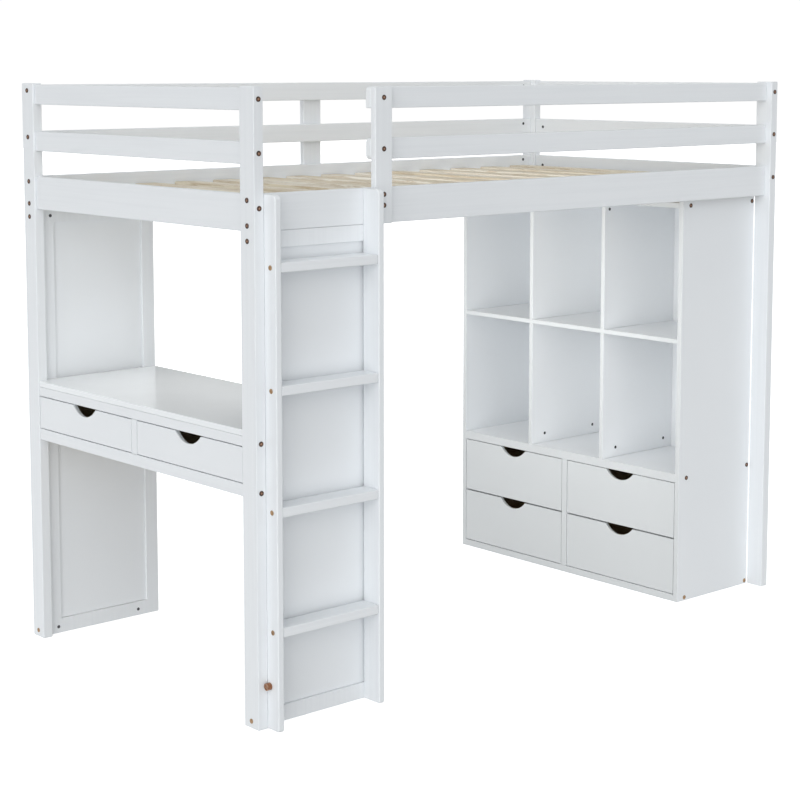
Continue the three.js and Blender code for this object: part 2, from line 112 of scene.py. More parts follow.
scene = bpy.context.scene
scene.view_settings.view_transform = "Standard"
world = bpy.data.worlds.new("studio")
scene.world = world
world.use_nodes = True
sky = world.node_tree
sky_lamp = sky.nodes["Background"]
sky_lamp.inputs["Color"].default_value = SKY_TINT
sky_lamp.inputs["Strength"].default_value = SKY_LIGHT
sky_view = sky.nodes.new("ShaderNodeBackground")
sky_view.inputs["Color"].default_value = (1, 1, 1, 1)
sky_view.inputs["Strength"].default_value = SKY_SEEN
sky_pick = sky.nodes.new("ShaderNodeMixShader")
sky_path = sky.nodes.new("ShaderNodeLightPath")
sky.links.new(sky_path.outputs["Is Camera Ray"], sky_pick.inputs[0])
sky.links.new(sky_lamp.outputs[0], sky_pick.inputs[1])
sky.links.new(sky_view.outputs[0], sky_pick.inputs[2])
sky.links.new(sky_pick.outputs[0], sky.nodes["World Output"].inputs["Surface"])
print("sky light:", SKY_LIGHT)

# %% Lamps
LAMPS = {
    # name: (where it shines from, power, width in degrees)
    "lamp_front": ((-0.22, -1.0, 0.36), 0.37, 110),
    "lamp_desk_end": ((-1.0, -0.2, 0.12), 0.84, 70),
    "lamp_corner": ((-0.66, -0.75, 0.24), 1.38, 76),
    "lamp_shelf_end": ((1.0, 0.22, 0.14), 1.6, 60),
    "lamp_wall_side": ((0.22, 1.0, 0.14), 1.4, 60),
    "lamp_top": ((0, 0, 1), 0.7, 60),
}
BACK_LAMPS = ("lamp_shelf_end", "lamp_wall_side")


def soft_lamp(name, comes_from, power, width):
    """A lamp as far away as the sun, but as wide as a big softbox: width is in degrees."""
    bpy.ops.object.light_add(type="SUN")
    lamp = bpy.context.object
    lamp.name = name
    lamp.data.energy = power
    lamp.data.angle = math.radians(width)
    lamp.rotation_euler = Vector(comes_from).to_track_quat("Z", "Y").to_euler()
    return lamp


for name, (comes_from, power, width) in LAMPS.items():
    soft_lamp(name, comes_from, power, width)
for name in BACK_LAMPS:
    bpy.data.objects[name].visible_glossy = False     # no glare on the desk top
print("lamps:", sorted(LAMPS))

# %% Fill panels
FILL_PANELS = {
    # name: (place, where it shines to, power, size, spread in degrees)
    "fill_cubbies": ((-0.35, 0.05, 0.92), (1, 0.05, 0), 1.95, (0.8, 0.4), 95),
    "fill_desk_top": ((-0.70, 0.0, 1.15), (0, 0, -1), 0.6, (0.4, 0.8), 110),
}


def fill_panel(name, place, shines_to, power, size, spread):
    """A small softbox that the camera and the glossy paint don't see."""
    bpy.ops.object.light_add(type="AREA", location=place)
    lamp = bpy.context.object
    lamp.name = name
    lamp.data.shape = "RECTANGLE"
    lamp.data.energy = power
    lamp.data.size, lamp.data.size_y = size
    lamp.data.spread = math.radians(spread)
    lamp.rotation_euler = Vector(shines_to).to_track_quat("-Z", "Y").to_euler()
    lamp.visible_camera = False
    lamp.visible_glossy = False
    return lamp


for name, settings in FILL_PANELS.items():
    fill_panel(name, *settings)
print("fill panels:", sorted(FILL_PANELS))

# %% Floor
FLOOR_SIZE = 60
FLOOR_DROP = 0.5 * MM     # just under the feet, so that the two don't flicker
FLOOR_GLOW = 0.7

bpy.ops.mesh.primitive_plane_add(size=FLOOR_SIZE, location=(0, 0, -FLOOR_DROP))
floor = bpy.context.object
floor.name = "studio_floor"
floor.visible_diffuse = False       # it doesn't light the boards from below
floor.visible_shadow = False        # low lamps shine through it
print("floor across in metres:", FLOOR_SIZE)

# %% [markdown]
# ## Helpers for finishes
# A finish is a node graph around one Principled shader. Noise on Object coordinates makes
# it vary over the surface, and because every board's place is in its mesh, no two boards
# get the same figure. Short helpers keep each finish readable.

# %% Material helpers
def new_finish(name):
    """An empty material: its node tree, its shader and its object coordinates."""
    material = bpy.data.materials.new(name)
    material.use_nodes = True
    tree = material.node_tree
    place = tree.nodes.new("ShaderNodeTexCoord").outputs["Object"]
    return material, tree, tree.nodes["Principled BSDF"], place


def stretched(tree, place, stretch):
    """The coordinates scaled by a different number along each axis."""
    mapping = tree.nodes.new("ShaderNodeMapping")
    mapping.inputs["Scale"].default_value = stretch
    tree.links.new(place, mapping.inputs["Vector"])
    return mapping.outputs["Vector"]


def noise(tree, place, scale, detail=3, rough=0.55, twist=0):
    """Soft noise from 0 to 1."""
    node = tree.nodes.new("ShaderNodeTexNoise")
    node.inputs["Scale"].default_value = scale
    node.inputs["Detail"].default_value = detail
    node.inputs["Roughness"].default_value = rough
    node.inputs["Distortion"].default_value = twist
    tree.links.new(place, node.inputs["Vector"])
    return node.outputs["Fac"]


print("helpers: new_finish, stretched, noise")


# %% Colour and relief helpers
def ramp(tree, value, *stops):
    """A colour ramp: each stop is a place from 0 to 1 and a colour."""
    node = tree.nodes.new("ShaderNodeValToRGB")
    band = node.color_ramp
    while len(band.elements) < len(stops):
        band.elements.new(0.5)
    for element, (at, color) in zip(band.elements, stops):
        element.position = at
        element.color = (*color, 1)
    tree.links.new(value, node.inputs["Fac"])
    return node.outputs["Color"]


def spread(tree, value, low, high):
    """Maps noise around its middle to the range low to high."""
    node = tree.nodes.new("ShaderNodeMapRange")
    node.inputs["From Min"].default_value = 0.3
    node.inputs["From Max"].default_value = 0.7
    node.inputs["To Min"].default_value = low
    node.inputs["To Max"].default_value = high
    tree.links.new(value, node.inputs["Value"])
    return node.outputs["Result"]


def blended(tree, share, first, second, mode="MIX"):
    """Mixes two colours, or lays the second over the first."""
    node = tree.nodes.new("ShaderNodeMix")
    node.data_type = "RGBA"
    node.blend_type = mode
    if isinstance(share, float):
        node.inputs["Factor"].default_value = share
    else:
        tree.links.new(share, node.inputs["Factor"])
    tree.links.new(first, node.inputs[6])
    tree.links.new(second, node.inputs[7])
    return node.outputs[2]


def relief(tree, shader, height, deep, strength, under=None):
    """Adds a bump of that depth in metres, on top of another if one is given."""
    node = tree.nodes.new("ShaderNodeBump")
    node.inputs["Distance"].default_value = deep
    node.inputs["Strength"].default_value = strength
    tree.links.new(height, node.inputs["Height"])
    if under is not None:
        tree.links.new(under, node.inputs["Normal"])
    tree.links.new(node.outputs["Normal"], shader.inputs["Normal"])
    return node.outputs["Normal"]


print("helpers: ramp, spread, blended, relief")

# %% [markdown]
# ## White paint
# The bed is sprayed with satin white lacquer. On solid pine the grain still shows through
# as long faint ridges; on fibreboard the film only has a fine orange-peel texture. So the
# solid boards get one finish for each direction that a board's grain can run, and the flat
# boards get one without grain. The colour drifts by one or two percent, as sprayed paint
# does. Three flat finishes differ in tone: the insides of the cubbies are lighter and the
# bookcase's fronts darker, to even out how the lamps reach them, and the desk top is a
# lighter, glossier lacquer. One white everywhere would be simpler, but the cubbies would
# come out darker than the rest of the bed and the bookcase's fronts brighter.

# %% Paint finishes
PAINT_LIGHT = (0.835, 0.860, 0.882)
PAINT_MIDDLE = (0.812, 0.838, 0.862)
PAINT_DARK = (0.772, 0.798, 0.824)
# The cubbies' lighter white is painted light, and the fronts' darker white is painted shade.
INSIDE_PAINTED_LIGHT_TONES = ((0.875, 0.895, 0.912), (0.89, 0.91, 0.926))
FRONT_PAINTED_SHADE_TONES = ((0.69, 0.714, 0.723), (0.71, 0.734, 0.743))
TOP_TONES = ((0.85, 0.878, 0.898), (0.87, 0.897, 0.915))
GRAIN_STRETCH = {"x": (1.2, 60, 60), "y": (60, 1.2, 60), "z": (60, 60, 1.2)}


def paint(
    name, grain=None, rough=(0.34, 0.46), peel=0.25, tones=(PAINT_MIDDLE, PAINT_LIGHT)
):
    """White lacquer, over grain that runs along an axis or over a smooth board."""
    material, tree, shader, place = new_finish(name)
    drift = noise(tree, place, 2.3, detail=2)
    color = ramp(tree, drift, (0.3, tones[0]), (0.72, tones[1]))
    film = noise(tree, place, 420, detail=2)
    shine = noise(tree, place, 9, detail=4)
    normal = relief(tree, shader, film, 0.00012, peel)
    if grain:
        along = stretched(tree, place, GRAIN_STRETCH[grain])
        lines = noise(tree, along, 1.6, detail=5, twist=0.35)
        faint = ramp(tree, lines, (0.36, PAINT_DARK), (0.56, PAINT_LIGHT))
        color = blended(tree, 0.30, color, faint)
        relief(tree, shader, lines, 0.0005, 0.28, normal)
    tree.links.new(color, shader.inputs["Base Color"])
    tree.links.new(spread(tree, shine, *rough), shader.inputs["Roughness"])
    shader.inputs["Specular IOR Level"].default_value = 0.42
    return material


paint_along = {axis: paint("paint_grain_" + axis, axis) for axis in "xyz"}
paint_smooth = paint("paint_smooth")
paint_inside_painted_light = paint("paint_inside_painted_light", tones=INSIDE_PAINTED_LIGHT_TONES)
paint_front_painted_shade = paint("paint_front_painted_shade", tones=FRONT_PAINTED_SHADE_TONES)
paint_gloss = paint("paint_gloss", rough=(0.24, 0.27), peel=0.05, tones=TOP_TONES)
gloss_shader = paint_gloss.node_tree.nodes["Principled BSDF"]
gloss_shader.inputs["Coat Weight"].default_value = 0.35
gloss_shader.inputs["Coat Roughness"].default_value = 0.08
print("paints:", [m.name for m in bpy.data.materials if m.name.startswith("paint")])

# %% [markdown]
# ## Bare pine
# The slats are planed pine with no finish. Its figure is long darker lines of late wood in
# pale cream, some streaks of golden heartwood, and a knot here and there. A stretched
# noise makes the lines, a slower one the streaks, and sparse round cells the knots.

# %% Pine finish
PINE_CREAM = (0.67, 0.59, 0.44)
PINE_PALE = (0.79, 0.76, 0.68)
PINE_LINE = (0.50, 0.35, 0.19)
PINE_KNOT = (0.24, 0.12, 0.05)
PINE_ALONG = {"x": (1.0, 30, 30), "y": (30, 1.0, 30)}


def pine(name, grain):
    """Bare pine whose grain runs along x or y."""
    material, tree, shader, place = new_finish(name)
    along = stretched(tree, place, PINE_ALONG[grain])
    rings = noise(tree, along, 3.0, detail=5, rough=0.6, twist=0.8)
    body = noise(tree, along, 0.7, detail=2, twist=0.4)
    color = ramp(tree, body, (0.34, PINE_CREAM), (0.66, PINE_PALE))
    lines = ramp(tree, rings, (0.40, (1, 1, 1)), (0.50, PINE_LINE), (0.54, (1, 1, 1)))
    color = blended(tree, 0.5, color, lines, "MULTIPLY")
    knots = tree.nodes.new("ShaderNodeTexVoronoi")
    knots.inputs["Scale"].default_value = 5.5
    knot_place = stretched(tree, place, {"x": (0.8, 1, 1), "y": (1, 0.8, 1)}[grain])
    tree.links.new(knot_place, knots.inputs["Vector"])
    spot = ramp(tree, knots.outputs["Distance"], (0.05, (1, 1, 1)), (0.11, (0, 0, 0)))
    dark = ramp(tree, rings, (0.3, PINE_KNOT), (0.7, PINE_LINE))
    color = blended(tree, spot, color, dark)
    tree.links.new(color, shader.inputs["Base Color"])
    tree.links.new(spread(tree, rings, 0.5, 0.68), shader.inputs["Roughness"])
    shader.inputs["Specular IOR Level"].default_value = 0.3
    relief(tree, shader, rings, 0.0006, 0.35)
    return material


pine_along = {axis: pine("pine_grain_" + axis, axis) for axis in "xy"}
print("pine grain runs along:", sorted(pine_along))

# %% [markdown]
# ## Plywood, webbing and metal
# Drawer boxes are plain birch plywood, the slats hang on two woven tapes, and the fittings
# are bolts with an antique bronze plating. The floor of each bolt's socket gets a lighter
# coppery coat, a painted highlight. Old plating is dull, so it is mostly a dark or coppery
# coat and only a little metallic.

# %% Plywood, webbing and metal finishes
def plywood():
    """Unfinished plywood: long quiet figure and thin darker flecks."""
    material, tree, shader, place = new_finish("plywood")
    figure = noise(tree, stretched(tree, place, (2, 26, 26)), 1.4, detail=4, twist=0.6)
    fleck = noise(tree, stretched(tree, place, (30, 160, 160)), 2.5, detail=2)
    color = ramp(tree, figure, (0.3, (0.60, 0.47, 0.30)), (0.7, (0.72, 0.60, 0.42)))
    spots = ramp(tree, fleck, (0.30, (0.62, 0.5, 0.36)), (0.44, (1, 1, 1)))
    tree.links.new(blended(tree, 0.5, color, spots, "MULTIPLY"), shader.inputs["Base Color"])
    tree.links.new(spread(tree, figure, 0.55, 0.7), shader.inputs["Roughness"])
    relief(tree, shader, figure, 0.0004, 0.2)
    return material


def webbing():
    """Woven tape: fine crossing threads of pale polyester."""
    material, tree, shader, place = new_finish("webbing")
    threads = tree.nodes.new("ShaderNodeTexWave")
    threads.bands_direction = "DIAGONAL"
    threads.inputs["Scale"].default_value = 260
    threads.inputs["Distortion"].default_value = 1.5
    tree.links.new(place, threads.inputs["Vector"])
    shade = threads.outputs["Fac"]
    color = ramp(tree, shade, (0.2, (0.50, 0.48, 0.44)), (0.8, (0.74, 0.72, 0.67)))
    tree.links.new(color, shader.inputs["Base Color"])
    shader.inputs["Roughness"].default_value = 0.85
    relief(tree, shader, shade, 0.0004, 0.6)
    return material


ANTIQUE = 0.15            # how metallic a plating is: dull bronze, satin brass, zinc
SATIN = 0.3
BRIGHT = 0.85


def plated(name, dark, light, rough, metal=BRIGHT):
    """Plated metal with a patchy tone and fine scratches."""
    material, tree, shader, place = new_finish(name)
    patches = noise(tree, place, 190, detail=4)
    color = ramp(tree, patches, (0.35, dark), (0.68, light))
    tree.links.new(color, shader.inputs["Base Color"])
    tree.links.new(spread(tree, patches, *rough), shader.inputs["Roughness"])
    shader.inputs["Metallic"].default_value = metal
    relief(tree, shader, noise(tree, place, 900, detail=2), 0.00006, 0.4)
    return material


ply = plywood()
tape_weave = webbing()
BRONZE_TONES = ((0.022, 0.010, 0.006), (0.12, 0.055, 0.032))
WORN_AND_HIGHLIGHT_TONES = ((0.26, 0.14, 0.085), (0.46, 0.27, 0.17))
BRASS_TONES = ((0.24, 0.14, 0.065), (0.46, 0.29, 0.15))
ZINC_TONES = ((0.045, 0.045, 0.05), (0.12, 0.12, 0.13))
bronze = plated("bronze_plating", *BRONZE_TONES, (0.42, 0.6), ANTIQUE)
# The lighter coppery coat paints the highlight in the bolts' sockets.
worn_bronze_and_highlight = plated("bronze_worn_and_highlight", *WORN_AND_HIGHLIGHT_TONES, (0.4, 0.55), ANTIQUE)
brass = plated("brass_plating", *BRASS_TONES, (0.36, 0.5), SATIN)
zinc = plated("dark_zinc", *ZINC_TONES, (0.35, 0.5))
print("finishes:", len(bpy.data.materials))

# %% [markdown]
# ## The floor
# A plain pale floor, a shade off white, with a slight cloudiness like a seamless paper roll.

# %% Floor finish
floor_finish, floor_tree, floor_shader, floor_place = new_finish("studio_paper")
floor_cloud = noise(floor_tree, floor_place, 0.5, detail=2)
PAPER_TONES = ((0.3, (0.90, 0.91, 0.92)), (0.7, (0.93, 0.935, 0.94)))
floor_color = ramp(floor_tree, floor_cloud, *PAPER_TONES)
floor_tree.links.new(floor_color, floor_shader.inputs["Base Color"])
floor_shader.inputs["Roughness"].default_value = 0.9
floor_shader.inputs["Specular IOR Level"].default_value = 0.1
floor_shader.inputs["Emission Color"].default_value = (1, 1, 1, 1)
floor_shader.inputs["Emission Strength"].default_value = FLOOR_GLOW
floor.data.materials.append(floor_finish)
print("floor size:", tuple(floor.dimensions)[:2])

# %% [markdown]
# ## Eased boards
# A sawn board has its sharp edges taken off before it is painted, by two or three
# millimetres on posts and rails and by less on thin panels. The frame's boards are exact but
# sharp, so each is copied, its triangles are merged back into flat faces, and a Bevel
# modifier rounds its edges. The sharp board is hidden and the eased one stands for it.

# %% Easing helper
BEVEL_ANGLE = math.radians(35)
MERGE = 1e-5


def only(*things):
    """Selects these objects and no others."""
    bpy.ops.object.select_all(action="DESELECT")
    for thing in things:
        thing.select_set(True)
    bpy.context.view_layer.objects.active = things[0]


def bevelled(piece, radius, segments):
    """Rounds the sharp edges of a piece, and keeps its flat faces flat."""
    only(piece)
    bpy.ops.object.shade_smooth()
    bevel = piece.modifiers.new("eased", "BEVEL")
    bevel.width = radius
    bevel.segments = segments
    bevel.limit_method = "ANGLE"
    bevel.angle_limit = BEVEL_ANGLE
    bevel.harden_normals = True
    bpy.ops.object.modifier_apply(modifier=bevel.name)


def eased(node, radius, finish, body=MAIN_BODY, segments=2, trim=0):
    """An eased, painted copy of a board that stands for it; trim is sanded off its rim."""
    piece = bpy.data.objects.new(node + "_eased", frame["nodes"][node].data.copy())
    bpy.context.scene.collection.objects.link(piece)
    only(piece)
    piece.data.materials.clear()
    piece.data.materials.append(finish)
    bpy.ops.object.mode_set(mode="EDIT")
    bpy.ops.mesh.select_all(action="SELECT")
    bpy.ops.mesh.remove_doubles(threshold=MERGE)
    bpy.ops.mesh.customdata_custom_splitnormals_clear()
    bpy.ops.mesh.dissolve_limited(angle_limit=math.radians(1))
    if trim:
        low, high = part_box(node)
        size = high - low
        bpy.ops.transform.resize(
            value=(1, 1 - 2 * trim / size.y, 1 - 2 * trim / size.z),
            center_override=(low + high) / 2,
        )
    bpy.ops.object.mode_set(mode="OBJECT")
    bevelled(piece, radius, segments)
    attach(piece, body)
    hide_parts(node)
    return piece


def named(*words):
    """The frame's boards whose names hold one of the words."""
    return [n for n in NODES if any(w in n for w in words)]


print("drawer boards:", len(named("_face", "_tray")))

# %% [markdown]
# ## Posts, rails and ladder
# These are solid pine under paint, with softly rounded edges. The grain runs along each
# board, so the finish is picked by the board's direction.

# %% Solid boards
SOLID_BOARDS = [
    (named("post_"), 2.0, "z"),
    (named("_end_guard", "_end_bed_rail"), 2.5, "y"),
    (named("back_guard_top", "back_guard_mid", "back_side_rail"), 2.5, "x"),
    (named("front_guard_top", "front_guard_mid", "front_side_rail"), 2.5, "x"),
    (named("guard_upright"), 2.5, "z"),
    (named("ladder_stile"), 3.0, "z"),
    (named("ladder_rung"), 3.0, "x"),
    (named("panel_frame"), 1.2, "z"),
    (named("desk_apron", "desk_lower_rail"), 1.5, "y"),
]
for boards, radius, axis in SOLID_BOARDS:
    for node in boards:
        eased(node, radius * MM, paint_along[axis])
print("solid boards eased:", sum(len(boards) for boards, _, _ in SOLID_BOARDS))

# %% [markdown]
# ## Flat boards
# The infill panels, the bookcase and the drawer faces are fibreboard, so their edges are
# crisper and their paint shows no grain. Inside the cubbies a bookcase board gets a lighter
# white, painted light, and on its front edge a darker white, painted shade; its front faces
# are picked by their normals and get the second finish. The desk top has a glossier lacquer
# than the rest. A drawer's face is trimmed a little all round, because paint and easing
# widen the line around it, and it rides on its own drawer, as its tray does.

# %% Flat boards
FRONT_FACING = -0.7       # a face with a lower normal.x looks out of the bookcase's front
FLAT_BOARDS = [
    (named("panel_infill", "desk_divider") + ["desk_back"], 0.6, paint_smooth),
    (named("bookcase_side", "bookcase_base", "bookcase_top"), 0.9, paint_smooth),
    (["bookcase_drawer_divider"], 0.9, paint_smooth),
    (named("bookcase_shelf", "bookcase_divider", "bookcase_deck"), 0.9, paint_inside_painted_light),
    (["bookcase_back"], 0.5, paint_inside_painted_light),
]
for boards, radius, finish in FLAT_BOARDS:
    for node in boards:
        board = eased(node, radius * MM, finish)
        if node.startswith("bookcase") and node != "bookcase_back":
            # Painted shade: the front faces get the darker white.
            board.data.materials.append(paint_front_painted_shade)
            for face in board.data.polygons:
                face.material_index = int(face.normal.x < FRONT_FACING)
print("flat boards eased:", sum(len(boards) for boards, _, _ in FLAT_BOARDS))

# %% Desk top, ledgers and drawers
FACE_TRIM = 0.7 * MM
eased("desk_top", 1.6 * MM, paint_gloss, segments=3)
eased("desk_floor", 0.6 * MM, ply)
for node in named("slat_ledger"):
    eased(node, 1.5 * MM, pine_along["x"])

DRAWERS = [body for body in frame["bodies"] if body != MAIN_BODY]
for body in DRAWERS:
    # A bookcase drawer's face takes the fronts' darker white, painted shade.
    finish = paint_front_painted_shade if body.startswith("bookcase") else paint_smooth
    eased(body + "_face", 1.0 * MM, finish, body, trim=FACE_TRIM)
    eased(body + "_tray", 0.8 * MM, ply, body)
print("drawers:", DRAWERS)

# %% [markdown]
# ## Slats and their tapes
# The bed's base is fourteen loose slats in two rolls, stapled to woven tapes so that they
# stay spaced. One slat is shaped from a block, its long edges are rounded, and it is copied
# along the bed. The tapes run under them, and each crossing has a staple.

# %% Slats
SLATS_IN_ROLL = 7
SLAT_WIDE = 70 * MM
SLAT_THICK = 18 * MM
TAPE_WIDE = 20 * MM
TAPE_THICK = 1.5 * MM
TAPE_FROM_END = 120 * MM


def settle(piece):
    """Puts an object's place, turn and scale into its mesh."""
    only(piece)
    bpy.ops.object.transform_apply(location=True, rotation=True, scale=True)


def own_copy(piece, name, place, turn=(0, 0, 0)):
    """A copy with its own mesh, turned and moved, and settled there."""
    copy = bpy.data.objects.new(name, piece.data.copy())
    bpy.context.scene.collection.objects.link(copy)
    copy.rotation_euler = turn
    copy.location = place
    settle(copy)
    return copy


def block(name, size, finish):
    """A block of that size about the origin, to be shaped further."""
    bpy.ops.object.select_all(action="DESELECT")
    bpy.ops.mesh.primitive_cube_add(size=1, scale=size, location=(0, 0, 0))
    piece = bpy.context.object
    piece.name = name
    settle(piece)
    piece.data.materials.append(finish)
    return piece


first_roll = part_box("slat_roll_desk_end")
slat_long = first_roll[1].y - first_roll[0].y
slat_pattern = block("slat_pattern", (SLAT_WIDE, slat_long, SLAT_THICK), pine_along["y"])
bevelled(slat_pattern, 2.5 * MM, 3)
for roll in named("slat_roll"):
    low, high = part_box(roll)
    pitch = (high.x - low.x - SLAT_WIDE) / (SLATS_IN_ROLL - 1)
    y, z = (low.y + high.y) / 2, high.z - SLAT_THICK / 2
    for i in range(SLATS_IN_ROLL):
        x = low.x + SLAT_WIDE / 2 + i * pitch
        slat = own_copy(slat_pattern, f"{roll}_slat_{i + 1}", (x, y, z))
        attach(slat, MAIN_BODY)
    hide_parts(roll)
bpy.data.objects.remove(slat_pattern)

# %% Tapes and staples
def staple_pattern():
    """A wire staple: a short bar with both ends turned down."""
    staple = block("staple_pattern", (1.2 * MM, 10 * MM, 0.8 * MM), zinc)
    bpy.ops.object.mode_set(mode="EDIT")
    bpy.ops.mesh.select_all(action="DESELECT")
    bpy.ops.object.mode_set(mode="OBJECT")
    for face in staple.data.polygons:
        face.select = abs(face.normal.y) > 0.9
    bpy.ops.object.mode_set(mode="EDIT")
    bpy.ops.mesh.select_mode(type="FACE")
    bpy.ops.mesh.inset(thickness=0.1 * MM)
    bpy.ops.object.mode_set(mode="OBJECT")
    bevelled(staple, 0.25 * MM, 1)
    return staple


staple = staple_pattern()
TAPE_GAP = 0.1 * MM       # so that a tape's two faces don't lie in the slats'
for roll in named("slat_roll"):
    low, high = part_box(roll)
    long = high.x - low.x - 2 * MM
    pitch = (high.x - low.x - SLAT_WIDE) / (SLATS_IN_ROLL - 1)
    for side, y in (("front", low.y + TAPE_FROM_END), ("back", high.y - TAPE_FROM_END)):
        z = high.z - SLAT_THICK - TAPE_THICK / 2
        size = (long, TAPE_WIDE, TAPE_THICK - TAPE_GAP)
        tape = block(f"{roll}_tape_{side}", size, tape_weave)
        bevelled(tape, 0.4 * MM, 2)
        tape.location = ((low.x + high.x) / 2, y, z)
        settle(tape)
        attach(tape, MAIN_BODY)
        held = []
        for i in range(SLATS_IN_ROLL):
            x = low.x + SLAT_WIDE / 2 + i * pitch
            place = (x, y, z - TAPE_THICK / 2)
            held.append(own_copy(staple, f"{roll}_staple_{side}_{i + 1}", place))
        only(*held)
        bpy.ops.object.join()
        held[0].name = f"{roll}_staples_{side}"
        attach(held[0], MAIN_BODY)
bpy.data.objects.remove(staple)

# %% [markdown]
# ## Bolts and barrel nuts
# The posts are held to the rails by furniture bolts. A bolt's head is a round cap with a
# six-sided socket. Two rings, one round and one six-sided, are bridged to make its face;
# the inner ring is pushed down to make the socket, and the outer one to make the rim. The
# socket's floor stays above the board, or the white paint would show through it. Inside,
# each bolt ends in a barrel nut, whose slotted end shows on the rail.

# %% Shaping helper
def choose(piece, test):
    """Enters edit mode with only the vertices selected that pass the test."""
    if piece.mode == "EDIT":
        bpy.ops.object.mode_set(mode="OBJECT")
    only(piece)
    bpy.ops.object.mode_set(mode="EDIT")
    bpy.ops.mesh.select_mode(type="VERT")
    bpy.ops.mesh.select_all(action="DESELECT")
    bpy.ops.object.mode_set(mode="OBJECT")
    for corner in piece.data.vertices:
        corner.select = test(corner.co)
    bpy.ops.object.mode_set(mode="EDIT")


def pushed(distance):
    """Extrudes what is selected along z."""
    bpy.ops.mesh.extrude_region_move(TRANSFORM_OT_translate={"value": (0, 0, distance)})


def across(point):
    """How far a point is from the z axis."""
    return math.hypot(point.x, point.y)


print("helpers: choose, pushed, across")


# %% Bolt head
HEAD_SUNK = 0.8 * MM      # how far a head reaches into its board
SOCKET_WIDE = 0.46        # a socket's radius, as a share of its head's
SOCKET_DEEP = 0.7         # and its depth; its floor stays clear of the painted board


def bolt_pattern(name, radius, proud, rim, socket):
    """A bolt head that faces +z from the plane z = 0, with a six-sided socket."""
    hexagon = radius * SOCKET_WIDE
    bpy.ops.object.select_all(action="DESELECT")
    bpy.ops.mesh.primitive_circle_add(vertices=28, radius=radius, location=(0, 0, 0))
    head = bpy.context.object
    head.name = name
    bpy.ops.object.mode_set(mode="EDIT")
    bpy.ops.mesh.primitive_circle_add(vertices=6, radius=hexagon, location=(0, 0, 0))
    bpy.ops.mesh.select_all(action="SELECT")
    bpy.ops.mesh.bridge_edge_loops()
    choose(head, lambda p: across(p) < hexagon * 1.1)
    pushed(-proud * SOCKET_DEEP)
    bpy.ops.mesh.edge_face_add()
    choose(head, lambda p: across(p) > radius * 0.9)
    pushed(-(proud + HEAD_SUNK))
    bpy.ops.mesh.edge_face_add()
    bpy.ops.mesh.select_all(action="SELECT")
    bpy.ops.mesh.normals_make_consistent(inside=False)
    bpy.ops.transform.translate(value=(0, 0, proud))
    bpy.ops.object.mode_set(mode="OBJECT")
    head.data.materials.append(rim)
    head.data.materials.append(socket)
    bevelled(head, 0.35 * MM, 2)
    # The socket's floor gets the lighter coppery coat, a painted highlight.
    for face in head.data.polygons:
        face.material_index = int(across(face.center) < hexagon * 0.9)
    return head


bolt = bolt_pattern("bolt_pattern", 6.6 * MM, 1.4 * MM, bronze, worn_bronze_and_highlight)
screw = bolt_pattern("screw_pattern", 6.3 * MM, 1.2 * MM, brass, brass)
print("bolt head faces:", len(bolt.data.polygons))

# %% Barrel nut
def nut_pattern():
    """The end of a barrel nut: a disc with a softened rim and a slot."""
    bpy.ops.object.select_all(action="DESELECT")
    bpy.ops.mesh.primitive_cylinder_add(vertices=24, radius=4.8 * MM, depth=1.6 * MM)
    nut = bpy.context.object
    nut.name = "nut_pattern"
    nut.data.materials.append(zinc)
    bevelled(nut, 0.3 * MM, 2)
    cutter = block("slot_cutter", (12 * MM, 1.3 * MM, 1.2 * MM), zinc)
    cutter.location = (0, 0, 0.9 * MM)
    settle(cutter)
    slot = nut.modifiers.new("slot", "BOOLEAN")
    slot.operation = "DIFFERENCE"
    slot.object = cutter
    only(nut)
    bpy.ops.object.modifier_apply(modifier=slot.name)
    bpy.data.objects.remove(cutter)
    return nut


nut = nut_pattern()
print("barrel nut faces:", len(nut.data.polygons))

# %% [markdown]
# ### Where the fittings go
# A fitting is placed by the board that it holds: a rail's bolt sits at the rail's middle
# height on the outer face of the post, and its barrel nut a little way in from the rail's
# end. Each fitting faces out along one axis.

# %% How a fitting is placed
FACING = {
    "-x": (0, -math.pi / 2, 0),
    "+x": (0, math.pi / 2, 0),
    "-y": (math.pi / 2, 0, 0),
    "+y": (-math.pi / 2, 0, 0),
}
counts = {}


def fit(pattern, kind, board, facing, place):
    """Puts one fitting on a board, facing out along an axis."""
    key = f"{kind}_{board}"
    counts[key] = counts.get(key, 0) + 1
    piece = own_copy(pattern, f"{key}_{counts[key]}", place, FACING[facing])
    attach(piece, MAIN_BODY)
    return piece


def middle_z(node):
    """A board's middle height."""
    low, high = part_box(node)
    return (low.z + high.z) / 2


print("a fitting can face:", sorted(FACING))

# %% Bolts on the posts
END_BOLT_RISE = 12 * MM      # bed rail's middle up to its end bolt
GUARD_BOLT_RISE = 11 * MM    # guard rail's middle up to its side bolt
BED_BOLT_SPREAD = 31 * MM    # bed rail's middle to each of its two side bolts
PANEL_BOLT_DROP = 22 * MM    # top of a panel down to its upper bolt
PANEL_BOLT_FOOT = 19 * MM    # floor up to its lower bolt

